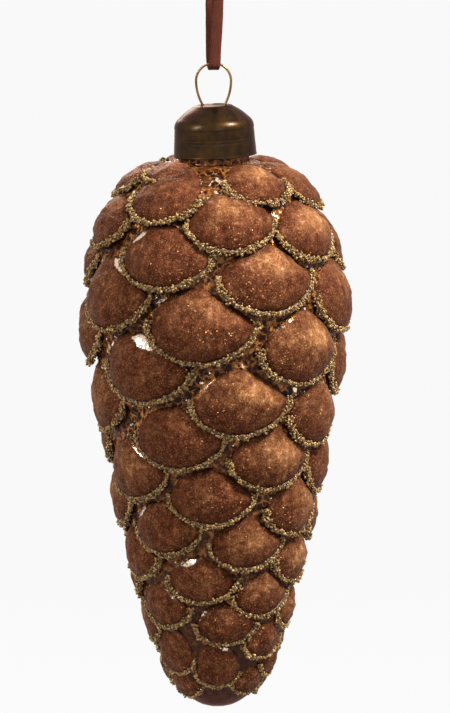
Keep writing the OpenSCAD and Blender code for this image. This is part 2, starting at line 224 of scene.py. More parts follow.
def unit(v):
    return v / np.linalg.norm(v, axis=-1, keepdims=True)


def lumps(points, size, seed, waves=7):
    """Smooth random value from -1 to 1 at each point, in lumps of about the given size."""
    draw = np.random.default_rng(seed)
    run = unit(draw.normal(size=(waves, 3))) * (FULL_TURN / size)
    run = run * draw.uniform(0.6, 1.5, (waves, 1))
    start = draw.uniform(0, FULL_TURN, waves)
    return np.sin(points @ run.T + start).sum(-1) / math.sqrt(waves) * 0.8


def ripples(points, kinds):
    """Sum of lumps, each of a height, a size and a seed."""
    return sum(height * lumps(points, size, seed) for height, size, seed in kinds)


def smooth_line(points, count, fine_steps=24):
    """Catmull-Rom curve through points, at count even steps of its length."""
    p = np.asarray(points, float)
    p = np.vstack([2 * p[0] - p[1], p, 2 * p[-1] - p[-2]])
    t = np.linspace(0, 1, fine_steps, endpoint=False)[:, None]
    pieces = [
        0.5 * (2 * b + (c - a) * t + (2 * a - 5 * b + 4 * c - d) * t**2
               + (3 * b - a - 3 * c + d) * t**3)
        for a, b, c, d in zip(p, p[1:], p[2:], p[3:])]
    fine = np.vstack(pieces + [p[-2][None]])
    along = np.concatenate([[0], np.cumsum(np.linalg.norm(np.diff(fine, axis=0), axis=1))])
    at = np.linspace(0, along[-1], count)
    return np.stack([np.interp(at, along, fine[:, k]) for k in range(3)], -1)


def swept(line, shape, sideways):
    """Points and faces of a section of (sideways, outwards) points swept along a line."""
    run = unit(np.gradient(line, axis=0))
    sideways = np.broadcast_to(np.asarray(sideways, float), line.shape)
    side = unit(sideways - (sideways * run).sum(-1, keepdims=True) * run)
    face = np.cross(run, side)
    points = (line[:, None] + shape[None, :, :1] * side[:, None]
              + shape[None, :, 1:] * face[:, None])
    quads, tris = tube_faces(*points.shape[:2])
    return np.vstack([points.reshape(-1, 3), line[0], line[-1]]), quads, tris


def joined(parts):
    """Several (points, quads, tris) as one."""
    starts = np.cumsum([0] + [len(points) for points, _, _ in parts])
    moved = [(p, q + start, t + start) for (p, q, t), start in zip(parts, starts)]
    return [np.vstack(kind) for kind in zip(*moved)]


def section(w, t, sides=20, power=4.0):
    """Flat band with soft edges, as a squared-off oval. A power of 2 makes it round."""
    a = ring_angles(sides, 0.5)
    c, s = np.cos(a), np.sin(a)
    return np.stack([w / 2 * np.sign(c) * np.abs(c) ** (2 / power),
                     t / 2 * np.sign(s) * np.abs(s) ** (2 / power)], -1)


# The glass as a surface: everything on it is placed by its distance down and its turn

def bezier(a, b, c, d, steps):
    t = np.linspace(0, 1, steps + 1)[:, None]
    return (1 - t)**3 * a + 3 * t * (1 - t)**2 * b + 3 * t * t * (1 - t) * c + t**3 * d


def glass_profile(flank_steps, shoulder_steps):
    widest = np.array([BODY_R, WIDEST_H])
    aim = np.array([FLANK_R, FLANK_H])
    foot = np.array([NECK_R, BODY_H])
    flank = bezier(np.zeros(2), np.array([BOTTOM_R, 0]), aim, widest, flank_steps)
    shoulder = bezier(widest, widest + SHOULDER_START * (widest - aim),
                      np.array([SHOULDER_R, BODY_H]), foot, shoulder_steps)
    return np.vstack([flank, shoulder[1:]])


def measured(line):
    """Distance down from the neck's foot in radii and in millimetres, at each point of a line."""
    step = np.linalg.norm(np.diff(line, axis=0), axis=1)
    radii = step * 2 / (line[1:, 0] + line[:-1, 0])
    down = np.concatenate([np.cumsum(radii[::-1])[::-1], [0]])
    length = np.concatenate([np.cumsum(step[::-1])[::-1], [0]])
    return down, length


source_profile = glass_profile(SOURCE_FLANK_STEPS, SOURCE_SHOULDER_STEPS)
source_down, source_length = measured(source_profile)
profile = glass_profile(160, 80)
profile_down, profile_length = measured(profile)
slope = unit(np.gradient(profile, axis=0))
profile_out = np.stack([slope[:, 1], -slope[:, 0]], -1)
profile_out[0], profile_out[-1] = (0, -1), (0, 1)


def at_down(down, values):
    return np.interp(down, profile_down[::-1], values[::-1])


def on_glass(down, turn, lift=0.0, out_mm=0.0):
    """Point of the glass, lifted off it by a share of the radius and by millimetres."""
    r = at_down(down, profile[:, 0])
    raised = r * lift + out_mm
    out = r + raised * at_down(down, profile_out[:, 0])
    up = at_down(down, profile[:, 1]) + raised * at_down(down, profile_out[:, 1])
    return np.stack([out * np.sin(turn), -out * np.cos(turn), up + GLASS_BOTTOM], -1)


numbers = np.array([n for n in range(SCALE_COUNT) if n not in LEFT_OUT])
count = len(numbers)
shifts = np.array([OFF_SPIRAL.get(n, (0, 0)) for n in numbers])
first_down = np.interp(FIRST_TIP, source_length[::-1], source_down[::-1])
tip_height = np.interp(first_down + numbers * STEP_SHARE + shifts[:, 1],
                       source_down[::-1], source_profile[::-1, 1])
tip_down = np.interp(tip_height, profile[:, 1], profile_down)
tip_turn = np.radians(FIRST_TURN + numbers * DIVERGENCE + shifts[:, 0])
radius_there = at_down(tip_down - DROP, profile[:, 0])


def on_scale(across, along, lift, out_mm=0.0):
    """Points on all the scales: the first axis of each argument is the scale."""
    shape = np.broadcast_shapes(np.shape(across), np.shape(along), np.shape(lift))
    spread = (slice(None),) + (None,) * (len(shape) - 1)
    down = tip_down[spread] + np.broadcast_to(along, shape)
    turn = tip_turn[spread] + np.broadcast_to(across, shape)
    return on_glass(down, turn, lift, out_mm)


def outline(angle, full):
    """Across and along shares of a scale's edge: full on the left, drawn in on the right."""
    c, v = np.cos(angle), np.sin(angle)
    upper = np.where(full, 1.0, np.where(c > 0, UPPER_POWERS[1], UPPER_POWERS[0]))
    power = np.where(v > 0, np.where(c > 0, LOWER_POWERS[1], LOWER_POWERS[0]), upper)
    return np.sign(c) * np.abs(c) ** power, np.sign(v) * np.abs(v) ** power


def scale_distance(down, turn):
    """Distance from each point to the nearest scale: under 1 inside its outline."""
    nearest = np.full(np.shape(down), 9.0)
    for tip, facing in zip(tip_down, tip_turn):
        along = down - tip + DROP
        reach = np.where(along > 0, DROP, RISE)
        nearest = np.minimum(nearest, np.hypot(wrapped(turn - facing) / HALF_WIDTH, along / reach))
    return nearest


def under_edges(down, turn, own=None):
    """Mask of painted shade right under the lower edge of another scale, 0 to 1, at each point."""
    shade = np.zeros(np.shape(down))
    for k, (tip, facing) in enumerate(zip(tip_down, tip_turn)):
        along = down - tip + DROP
        gap = np.hypot(wrapped(turn - facing) / HALF_WIDTH, along / DROP)
        here = np.where(along > 0, np.exp(-((gap - 1) / SHADE_REACH) ** 2), 0)
        shade = np.maximum(shade, here * (1 if own is None else own != k))
    return shade


def edge_lift(angle):
    """Lift of a scale's edge: proud at the tip, low at the corners, rooted at the top."""
    low = np.sin(angle)
    return np.where(low > 0, CORNER_LIFT + (TIP_LIFT - CORNER_LIFT) * low,
                    CORNER_LIFT + (CORNER_LIFT + ROOT_DEPTH) * low)


# Camera

def add_camera():
    back = Vector((0, -math.cos(TILT_DOWN), math.sin(TILT_DOWN)))
    level = Vector((1, 0, 0))
    above = Vector((0, math.sin(TILT_DOWN), math.cos(TILT_DOWN)))
    right = level * math.cos(ROLL) + above * math.sin(ROLL)
    up = above * math.cos(ROLL) - level * math.sin(ROLL)
    aim = Vector((0, 0, (GLASS_BOTTOM + AIM_HEIGHT) * MM))
    ahead = (-back + right * (PHOTO_W / 2 - AIM_PX[0]) / FOCAL_PX
             + up * (AIM_PX[1] - PHOTO_H / 2) / FOCAL_PX).normalized()
    right = (right - ahead * right.dot(ahead)).normalized()
    up = right.cross(ahead)
    data = bpy.data.cameras.new("camera")
    data.sensor_width = SENSOR_W
    data.lens = data.sensor_width * FOCAL_PX / PHOTO_H
    data.clip_start, data.clip_end = NEAREST_M, FARTHEST_M
    camera = bpy.data.objects.new("camera", data)
    camera.matrix_world = Matrix.Translation(aim + back * CAMERA_AWAY * MM) @ Matrix(
        (right, up, -ahead)).transposed().to_4x4()
    scene.collection.objects.link(camera)
    scene.camera = camera


# Material nodes

def add(tree, kind, settings=None, **inputs):
    """A node, with its settings and its inputs: values, or the sockets that feed them."""
    made = tree.nodes.new("ShaderNode" + kind)
    for key, value in (settings or {}).items():
        setattr(made, key, value)
    for key, value in inputs.items():
        socket = made.inputs[int(key[1:]) if key[1:].isdigit() else key.replace("_", " ")]
        if isinstance(value, bpy.types.NodeSocket):
            tree.links.new(value, socket)
        else:
            socket.default_value = value
    return made


def new_material(name, shader, *settings):
    """A material whose shader a function makes in its tree."""
    made = bpy.data.materials.new(name)
    made.use_nodes = True
    made.node_tree.nodes.clear()
    add(made.node_tree, "OutputMaterial", Surface=shader(made.node_tree, *settings))
    return made


def millimetres(tree):
    """The point in millimetres, for textures that keep their real size."""
    place = add(tree, "TexCoord").outputs["Object"]
    return add(tree, "VectorMath", {"operation": "SCALE"}, Vector=place, Scale=1 / MM).outputs[0]


def noise(tree, point, scale, detail=2.0, roughness=0.5):
    return add(tree, "TexNoise", Vector=point, Scale=scale, Detail=detail,
               Roughness=roughness).outputs["Fac"]


def ramp(tree, factor, *stops):
    """Colours or greys at stops along a factor."""
    made = add(tree, "ValToRGB", Fac=factor)
    elements = made.color_ramp.elements
    while len(elements) < len(stops):
        elements.new(0.5)
    for element, (at, colour) in zip(elements, stops):
        element.position = at
        element.color = (*((colour,) * 3 if isinstance(colour, (int, float)) else colour), 1)
    return made.outputs["Color"]


def mixed(tree, factor, a, b):
    return add(tree, "Mix", {"data_type": "RGBA"}, _0=factor, _6=a, _7=b).outputs[2]


def stored(tree, name):
    """One of the named values on the mesh's points."""
    return add(tree, "Attribute", {"attribute_name": name}).outputs["Fac"]


def math_node(operation):
    def made(tree, a, b, clamp=False):
        settings = {"operation": operation, "use_clamp": clamp}
        return add(tree, "Math", settings, _0=a, _1=b).outputs[0]
    return made


times, plus, minus, larger = map(math_node, ("MULTIPLY", "ADD", "SUBTRACT", "MAXIMUM"))


def swing(tree, factor, reach):
    """A factor that swings round a half, as one that swings round zero."""
    return times(tree, minus(tree, factor, 0.5), reach)


def vector_math(tree, operation, *inputs):
    named = {f"_{k}": value for k, value in enumerate(inputs)}
    return add(tree, "VectorMath", {"operation": operation}, **named).outputs[0]


def bump(tree, height, strength, distance, normal=None):
    made = add(tree, "Bump", Height=height, Strength=strength, Distance=distance * MM)
    if normal is not None:
        tree.links.new(normal, made.inputs["Normal"])
    return made.outputs["Normal"]


def principled(tree, **inputs):
    return add(tree, "BsdfPrincipled", **inputs).outputs[0]


def blended(tree, share, first, second):
    return add(tree, "MixShader", _0=share, _1=first, _2=second).outputs[0]


def height_share(tree, point, start, end, most=1.0):
    """0 at one height over the cone's bottom and beyond it, its most at another height."""
    height = add(tree, "SeparateXYZ", Vector=point).outputs["Z"]
    return add(tree, "MapRange", Value=height, From_Min=GLASS_BOTTOM + start,
               From_Max=GLASS_BOTTOM + end, To_Min=0.0, To_Max=most).outputs[0]


def shaded(tree, colour, dark):
    """A colour with painted shade, dark where the edge of another scale hangs over it."""
    return mixed(tree, times(tree, stored(tree, "shade"), 0.75), colour, dark)


# Materials

LOWER_HALF, TOP_RING_TO_NECK, BOTTOM_NUB = (66, 14, 0.93), (121, 131), (5, 2.5)
LINING = ((0.38, (0.035, 0.008, 0.0025)), (0.48, (0.09, 0.021, 0.005)),
          (0.58, (0.24, 0.07, 0.014)), (0.7, (0.6, 0.28, 0.08)))
CRACKLE_GOLD = (0.7, 0.32, 0.09, 1)
NECK_AMBER, LOW_AMBER = (0.07, 0.016, 0.004, 1), (0.045, 0.012, 0.005, 1)
NUB_AMBER, SHADED_AMBER = (0.055, 0.011, 0.003, 1), (0.035, 0.009, 0.003, 1)
HOLE_DARK = (0.018, 0.005, 0.002, 1)
HOLE_LIMIT, CRACKLE_WARP, NECK_SHARE = 0.42, (1.6, 1.6, 1.6), 0.4


def glass_shader(tree, point, gloss, holed=True):
    """Glossy amber glass over a gold lining that is crackled, with dark holes in it."""
    bent = add(tree, "TexNoise", Vector=point, Scale=0.9, Detail=3.0).outputs["Color"]
    web = add(tree, "TexVoronoi", {"feature": "DISTANCE_TO_EDGE"}, Scale=0.62,
              Vector=vector_math(tree, "MULTIPLY_ADD", bent, CRACKLE_WARP, point))
    web = web.outputs["Distance"]
    clouds = noise(tree, point, 0.55, 4.0, 0.6)
    hole_size = ramp(tree, noise(tree, point, 0.17, 3.0), (0.34, 0.06), (0.62, 0.35))
    inside = minus(tree, web, minus(tree, HOLE_LIMIT, hole_size))
    inside = plus(tree, inside, swing(tree, noise(tree, point, 1.1), 0.4))
    holes = ramp(tree, inside, (0.0, 0.0), (0.06, 1.0))
    lines = times(tree, ramp(tree, web, (0.03, 1.0), (0.11, 0.0)),
                  ramp(tree, clouds, (0.42, 0.08), (0.56, 0.6)))
    near_neck = times(tree, height_share(tree, point, *TOP_RING_TO_NECK), NECK_SHARE)
    low = height_share(tree, point, *LOWER_HALF)
    nub = height_share(tree, point, *BOTTOM_NUB)
    lining = ramp(tree, clouds, *LINING)
    for share, tint in ((lines, CRACKLE_GOLD), (near_neck, NECK_AMBER), (low, LOW_AMBER),
                        (nub, NUB_AMBER)):
        lining = mixed(tree, share, lining, tint)
    holes = times(tree, holes, minus(tree, 1.0, low))
    colour = mixed(tree, holes, lining, HOLE_DARK) if holed else lining
    above_nub = minus(tree, 1.0, nub)
    relief = minus(tree, noise(tree, point, 0.8), times(tree, holes, 0.4))
    swell = noise(tree, point, 0.5, 1.0)
    # Painted shade darkens the colour under the scales' edges
    return principled(
        tree, Base_Color=shaded(tree, colour, SHADED_AMBER), Metallic=0.3, Roughness=0.3,
        Normal=bump(tree, times(tree, relief, above_nub), 0.6, 0.4), Specular_IOR_Level=0.0,
        Specular_Tint=(0.8, 0.4, 0.2, 1.0), Coat_Weight=gloss, Coat_Roughness=0.05, Coat_IOR=1.5,
        Coat_Normal=bump(tree, times(tree, swell, above_nub), 0.3, 0.6))


def silvered(tree, point, tint):
    """Bare glass where the silvering under it shows, as bright as a mirror."""
    return principled(tree, Base_Color=tint, Metallic=1.0, Roughness=0.16, Coat_Weight=0.6,
                      Coat_Roughness=0.04, Normal=bump(tree, noise(tree, point, 1.4), 0.5, 0.3))


BROWN_COAT = ((0.15, (0.045, 0.011, 0.0045)), (0.5, (0.1, 0.027, 0.0115)),
              (0.72, (0.16, 0.047, 0.02)), (0.88, (0.3, 0.108, 0.046)))
GOLD_COAT = ((0.12, (0.2, 0.064, 0.023)), (0.45, (0.36, 0.14, 0.05)),
             (0.7, (0.56, 0.27, 0.11)), (0.88, (0.85, 0.57, 0.3)))
LOW_SHADE_COAT, SHADED_COAT = (0.035, 0.009, 0.004, 1), (0.028, 0.007, 0.003, 1)
GLINT, GLINT_SHARE, GLINT_TILT = (0.62, 0.3, 0.12, 1), 0.26, 0.6
GRAINS_PER_MM, COARSE_PER_MM, STREAK_SQUASH = 4.2, 2.1, 0.12


def coat_shader(tree, point):
    """Coat of crushed glass: brown grains, gold in a painted highlight, with bright flecks."""
    cells = add(tree, "TexVoronoi", Vector=point, Scale=GRAINS_PER_MM).outputs
    grain = add(tree, "SeparateColor", Color=cells["Color"]).outputs
    coarse = add(tree, "TexVoronoi", Vector=point, Scale=COARSE_PER_MM).outputs["Color"]
    coarse = add(tree, "SeparateColor", Color=coarse).outputs["Red"]
    dust = noise(tree, point, 1.3, 4.0, 0.75)
    # The painted golden highlight on each scale, made uneven by noise
    thin = plus(tree, stored(tree, "thin"), swing(tree, noise(tree, point, 0.2, 3.0), 1.2), True)
    streaked = add(tree, "CombineXYZ", X=stored(tree, "side_mm"),
                   Y=times(tree, stored(tree, "down_mm"), STREAK_SQUASH)).outputs[0]
    streaks = plus(tree, swing(tree, noise(tree, streaked, 0.7), 0.5),
                   swing(tree, noise(tree, point, 0.6, 4.0, 0.6), 1.4))
    streaks = plus(tree, streaks, swing(tree, coarse, 0.14))
    tone = plus(tree, times(tree, grain["Red"], 0.24), times(tree, minus(tree, dust, 0.03), 0.78))
    tone = plus(tree, tone, streaks)
    golden = minus(tree, times(tree, thin, 1.15), times(tree, grain["Blue"], 0.75))
    golden = plus(tree, times(tree, times(tree, golden, 1.6, True), 0.42), times(tree, thin, 0.42))
    colour = mixed(tree, golden, ramp(tree, tone, *BROWN_COAT), ramp(tree, tone, *GOLD_COAT))
    # Painted shade towards each scale's lower tip and on its wall
    colour = mixed(tree, stored(tree, "low"), colour, LOW_SHADE_COAT)
    normal = bump(tree, cells["Distance"], 0.35, 0.25, bump(tree, dust, 0.5, 0.3))
    # Painted shade darkens the coat under the edges of the scales above
    base = principled(tree, Base_Color=shaded(tree, colour, SHADED_COAT), Roughness=0.55,
                      Metallic=0.2, Normal=normal, Specular_IOR_Level=0.08,
                      Specular_Tint=(1.0, 0.6, 0.35, 1.0))
    tilt = vector_math(tree, "MULTIPLY_ADD", cells["Color"], (2 * GLINT_TILT,) * 3,
                       (-GLINT_TILT,) * 3)
    facing = vector_math(tree, "ADD", tilt, add(tree, "NewGeometry").outputs["Normal"])
    glint = principled(tree, Base_Color=GLINT, Metallic=0.6, Roughness=0.4,
                       Normal=vector_math(tree, "NORMALIZE", facing), Specular_IOR_Level=0.1)
    speck = ramp(tree, grain["Green"], (0.84, 0.0), (0.88, 1.0))
    return blended(tree, times(tree, speck, GLINT_SHARE), base, glint)


def amber_glass(tree):
    point = millimetres(tree)
    flecks = times(tree, stored(tree, "vein"), minus(tree, 1.0, stored(tree, "shade"), True))
    flecks = plus(tree, flecks, swing(tree, noise(tree, point, 0.9), 2.2))
    flecks = minus(tree, flecks, times(tree, height_share(tree, point, *LOWER_HALF), 0.6))
    return blended(tree, ramp(tree, flecks, (0.88, 0.0), (0.97, 1.0)),
                   glass_shader(tree, point, 0.2), silvered(tree, point, (0.95, 0.74, 0.52, 1)))


def coated_glass(tree):
    point = millimetres(tree)
    coat = plus(tree, stored(tree, "coat"), swing(tree, noise(tree, point, 1.6, 3.0), 0.7))
    shine = plus(tree, stored(tree, "mirror"),
                 swing(tree, noise(tree, point, 0.75, 4.0, 0.65), 2.8))
    bare = blended(tree, ramp(tree, shine, (0.66, 0.0), (0.74, 1.0)),
                   glass_shader(tree, point, 0.8, holed=False),
                   silvered(tree, point, (0.74, 0.54, 0.42, 1)))
    return blended(tree, ramp(tree, coat, (0.44, 0.0), (0.54, 1.0)), bare,
                   coat_shader(tree, point))


def gold_beads(tree):
    colour = ramp(tree, stored(tree, "tint"), (0.0, (0.13, 0.067, 0.024)),
                  (0.35, (0.29, 0.168, 0.066)), (0.75, (0.48, 0.31, 0.13)), (1.0, (0.8, 0.58, 0.3)))
    return principled(tree, Base_Color=colour, Metallic=0.35, Roughness=0.4,
                      Specular_IOR_Level=0.06)


def bead_glue(tree):
    point = millimetres(tree)
    colour = ramp(tree, noise(tree, point, 1.8, 3.0), (0.35, (0.06, 0.028, 0.01)),
                  (0.65, (0.16, 0.086, 0.032)))
    return principled(tree, Base_Color=colour, Roughness=0.5,
                      Normal=bump(tree, noise(tree, point, 3.0), 0.5, 0.2))


def brass(tree, dark, light, roughness, lacquer, edge):
    """Brass with a patina in clouds, fine drawn scratches and a light lacquer."""
    point = millimetres(tree)
    clouds = noise(tree, point, 0.35, 4.0, 0.6)
    scratches = noise(tree, vector_math(tree, "MULTIPLY", point, (1.0, 1.0, 9.0)), 1.2, 3.0)
    rough = add(tree, "MapRange", Value=clouds, To_Min=roughness * 0.8,
                To_Max=roughness * 1.4).outputs[0]
    return principled(tree, Base_Color=ramp(tree, clouds, (0.35, dark), (0.7, light)),
                      Metallic=1.0, Roughness=rough, Specular_Tint=edge, Coat_Weight=lacquer,
                      Coat_Roughness=0.24, Normal=bump(tree, scratches, 0.05, 0.03))


def brown_suede(tree):
    point = millimetres(tree)
    nap = noise(tree, point, 4.0, 4.0, 0.75)
    colour = mixed(tree, noise(tree, point, 0.5),
                   ramp(tree, nap, (0.3, (0.05, 0.011, 0.006)), (0.7, (0.12, 0.028, 0.015))),
                   ramp(tree, nap, (0.3, (0.075, 0.018, 0.01)), (0.7, (0.17, 0.047, 0.026))))
    return principled(tree, Base_Color=colour, Roughness=0.95, Specular_IOR_Level=0.15,
                      Normal=bump(tree, nap, 0.6, 0.12), Sheen_Weight=0.15, Sheen_Roughness=0.5,
                      Sheen_Tint=(0.9, 0.55, 0.42, 1))


# Pieces

def bind(piece, node):
    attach(piece, "root")
    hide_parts(node)


def tied_knot(suede):
    """Overhand knot of the flat lace: a wrap round the two strands, which end in two tails."""
    turns = np.radians(np.linspace(*WRAP_TURNS, WRAP_STEPS))
    climb = np.linspace(WRAP_INSET, KNOT_H - WRAP_INSET, WRAP_STEPS) + 0.25 * np.sin(turns * 0.5)
    steps = np.arange(WRAP_STEPS)
    tucked = np.clip(np.minimum(steps, steps[::-1]) / WRAP_TUCK, 0, 1)
    tucked = 0.55 + 0.45 * np.sin(tucked * math.pi / 2)
    outward = np.stack([np.sin(turns), -np.cos(turns), 0 * turns], -1)
    wrap = np.stack([(KNOT_W / 2 - LACE_T / 2 - 0.1) * tucked * outward[:, 0],
                     (KNOT_D / 2 - LACE_T / 2 - 0.1) * tucked * outward[:, 1], climb], -1)
    parts = [swept(wrap, section(LACE_W * 0.95, LACE_T),
                   np.cross(outward, np.gradient(wrap, axis=0)))]
    for tail, x, y in ((FRONT_TAIL, 0.3, -0.62), (BACK_TAIL, -0.2, 0.62)):
        line = [(x, y, 0.1), (x, y, KNOT_H / 2)] + [(p[0], p[1], KNOT_H + p[2] * TAIL_L)
                                                    for p in tail]
        parts.append(swept(smooth_line(line, 40), section(LACE_W, LACE_T), (1, 0, 0)))
    points, quads, tris = joined(parts)
    points = points + lumps(points, 1.6, 5)[:, None] * 0.04
    return mesh_piece("tied_knot", suede, points, quads, tris)


def lace_and_knot(suede):
    route = smooth_line(LACE_ROUTE, 150)
    points, quads, tris = swept(route, section(LACE_W, LACE_T), (1, 0, 0))
    points = points + lumps(points, 1.4, 3)[:, None] * 0.03
    lace = mesh_piece("lace_band", suede, points, quads, tris)
    knot = tied_knot(suede)
    low = route[route[:, 2].argmin()] * MM
    bind(lace, "suede_lace")
    bind(knot, "lace_knot")


def neck_and_hollow():
    """Radii and heights of the glass's line up the neck, over its rim and down its inside."""
    foot = GLASS_BOTTOM + BODY_H
    line = [(NECK_R, foot + h) for h in np.linspace(0, NECK_H - 0.35, NECK_ROWS)[1:]]
    line += [(NECK_R - 0.12, foot + NECK_H - 0.08), (NECK_R - GLASS_WALL / 2, foot + NECK_H),
             (NECK_R - GLASS_WALL + 0.1, foot + NECK_H - 0.1)]
    line += [(NECK_R - GLASS_WALL, foot + h) for h in (NECK_H - 0.5, NECK_H / 2, 0)]
    inner = profile - GLASS_WALL * profile_out
    inner = inner[(inner[:, 0] > 0.3) & (inner[:, 1] < BODY_H - 2 * GLASS_WALL)][::-INNER_STEP]
    return line + [(r, GLASS_BOTTOM + h) for r, h in inner]


def blown_glass(material):
    """The cone between the scales, its neck and the hollow inside it."""
    lengths = np.linspace(profile_length[0], 0, GLASS_ROWS)
    down = np.interp(lengths, profile_length[::-1], profile_down[::-1])[1:]
    down, turn = np.broadcast_arrays(down[:, None], ring_angles(GLASS_COLUMNS)[None, :])
    flat = on_glass(down, turn)
    gap = scale_distance(down, turn)
    swell = (RIM_SWELL * np.exp(-np.maximum(gap - 1, 0) / SWELL_REACH)
             * np.clip((gap - 0.75) * 4, 0, 1))
    fade = np.clip(at_down(down, profile_length) / FADE_LENGTH, 0, 1)
    calm = np.clip((flat[..., 2] - GLASS_BOTTOM - CALM_FROM) / CALM_LENGTH, CALMEST, 1)
    veins = np.exp(-(lumps(flat, VEIN_SIZE, VEIN_SEED) / VEIN_WIDTH) ** 2)
    relief = swell + (ripples(flat, RIPPLES) + VEIN_HEIGHT * veins)
    body = on_glass(down, turn, 0.0, fade * calm * relief)
    neck = neck_and_hollow()
    lathe = np.array([[(r * math.sin(a), -r * math.cos(a), z) for a in turn[0]] for r, z in neck])
    below_rim = lathe[..., 2] < GLASS_BOTTOM + BODY_H + NECK_H - 2
    waves = NECK_WAVE * lumps(lathe, NECK_WAVE_SIZE, NECK_WAVE_SEED) * below_rim
    lathe[:NECK_ROWS, :, :2] *= 1 + waves[:NECK_ROWS, :, None] / NECK_R
    grid = np.concatenate([body, lathe])
    points = np.vstack([grid.reshape(-1, 3), [0, 0, GLASS_BOTTOM], [0, 0, neck[-1][1]]])
    shade, vein = np.zeros((2, len(points)))
    # Painted shade under the edges of the scales, on the glass between them
    shade[:down.size] = (under_edges(down, turn) * fade).ravel()
    vein[:down.size] = (veins * (calm > 0.9)).ravel()
    return mesh_piece("blown_glass", material, points, *tube_faces(*grid.shape[:2]),
                      {"shade": shade, "vein": vein})


def scale_finish(own, s, a, across, along):
    """What the material reads on the scales' faces, each with its value on the walls below."""
    patches = np.array([BARE_PATCHES.get(n, (0, 0)) for n in numbers])[:, :, None, None]
    drawn = patches[:, 1] > 0
    patch_at = np.where(drawn, np.radians(patches[:, 0]), 1.2 * own[:, 1])
    patch_size = np.where(drawn, patches[:, 1], 0.35 + 0.25 * own[:, 2])
    off = wrapped(a + math.pi / 2 - patch_at)
    patch = np.exp(-(off / (0.35 + 0.2 * patch_size)) ** 2) * patch_size
    bare_from = 0.91 + 0.05 * own[:, 5] - 0.3 * patch
    coat = 1.0 - np.clip((s - bare_from) * 5, 0, 1) * np.clip(np.clip(-np.sin(a), 0, 1) * 4, 0, 1)
    mirror = np.clip(patch, 0, 1) * np.clip((s - bare_from + 0.05) * 8, 0, 1)
    # Painted highlight: a golden spot on the upper middle of each scale, stronger on some scales
    thin_at = np.hypot((np.cos(a) * s - 0.1 - 0.15 * own[:, 1]) / 0.62,
                       (np.sin(a) * s + 0.3 + 0.15 * own[:, 2]) / 0.5)
    tone = 0.45 + 0.35 * own[:, 3] + 0.35 * np.isin(numbers, GOLDEN)[:, None, None]
    tone = np.clip(tone * ~np.isin(numbers, DULL)[:, None, None], 0.05, 1.1)
    # Painted shade, darker towards the lower tip of each scale
    low = np.clip(np.clip(np.sin(a) + 0.5, 0, 1.3) * (s - 0.3), 0, 1) * 0.42
    # Painted shade under the edges of the scales above this one
    shade = under_edges(tip_down[:, None, None] + along, tip_turn[:, None, None] + across,
                        np.arange(count)[:, None, None])
    radius = radius_there[:, None, None]
    # The walls below the faces get painted shade through low and shade
    return {"coat": (coat, 0.0), "thin": (np.exp(-thin_at**2) * tone, 0.0), "low": (low, 0.4),
            "mirror": (mirror, 0.0), "shade": (shade, 0.7), "side_mm": (across * radius, 0.0),
            "down_mm": (along * radius, 0.0)}


def scale_pillows(material):
    """Every scale as a closed pillow: domed face, rounded edge, and a wall that leans in."""
    size = np.linspace(0, 1, SCALE_ROWS + 1)[1:] ** 0.8
    s, a = np.broadcast_arrays(size[None, :, None], ring_angles(SCALE_COLUMNS)[None, None, :])
    own = rng.uniform(-1, 1, (count, 6))[:, :, None, None]
    wobble = (1 + UNEVEN_EDGE * own[:, 0] * np.sin(2 * a + own[:, 1] * 3)
              + UNEVEN_EDGE * own[:, 2] * np.cos(3 * a + own[:, 3] * 3))
    rise = np.array([RISES.get(n, TOP_RISE) for n in numbers])[:, None, None]
    c, v = outline(a, np.isin(numbers, list(RISES))[:, None, None])
    reach = np.where(v > 0, DROP, RISE * rise)
    across = HALF_WIDTH * s * c * wobble
    along = -DROP + s * reach * v * wobble
    dome = DOME_SWELL * DOME * (1 - s**2.3) ** 0.75 * (1 + 0.12 * own[:, 4])
    rim = edge_lift(a) - 0.012 * s**8
    rooted = rim * s**1.6
    lift = (TIP_LIFT + CORNER_LIFT) / 2 * (1 - s**1.6) + rooted + dome
    upper = np.clip(-3 * np.sin(a), 0, 1)
    ledge = (0.045 * (1 - s**8) ** 0.5 - ROOT_DEPTH) * s**3
    lift = lift + upper * np.clip(ledge - rooted, 0, 1) * s
    bumps = ripples(on_scale(across, along, lift), SCALE_BUMPS)
    face = on_scale(across, along, lift, bumps * np.clip((1 - s) * 5, 0.3, 1))

    edge_size = np.array([0.985, 0.96, 0.95])[None, :, None]
    share = np.array([0.3, 0.7, 1.15])[None, :, None]
    along_wall = (-DROP + edge_size * (reach * v * wobble)[:, -1:]
                  - UNDERCUT * share * np.clip(v[:, -1:], 0, 1))
    wall = on_scale(edge_size * across[:, -1:], along_wall,
                    rim[:, -1:] * (1 - share) - ROOT_DEPTH * share)
    under = on_scale(np.zeros((count, 1)), np.full((count, 1), -DROP), -2 * ROOT_DEPTH)

    def with_ends(top, below, end):
        """Values of the faces and the walls in the order of the points, whose ends come last."""
        rows = np.concatenate([top, below], 1)
        rows = rows.reshape(count, -1, *rows.shape[3:])
        return np.concatenate([rows, top[:, :1].mean(2), end], 1)

    points = with_ends(face, wall, under)
    values = {}
    for name, (top, below) in scale_finish(own, s, a, across, along).items():
        top = np.broadcast_to(top, face.shape[:3])
        values[name] = with_ends(top, np.full(wall.shape[:3], below), np.zeros((count, 1)))
    quads, tris = (repeated(faces, points.shape[1], count)
                   for faces in tube_faces(face.shape[1] + wall.shape[1], SCALE_COLUMNS))
    return mesh_piece("glass_scales", material, points.reshape(-1, 3), quads, tris, values)


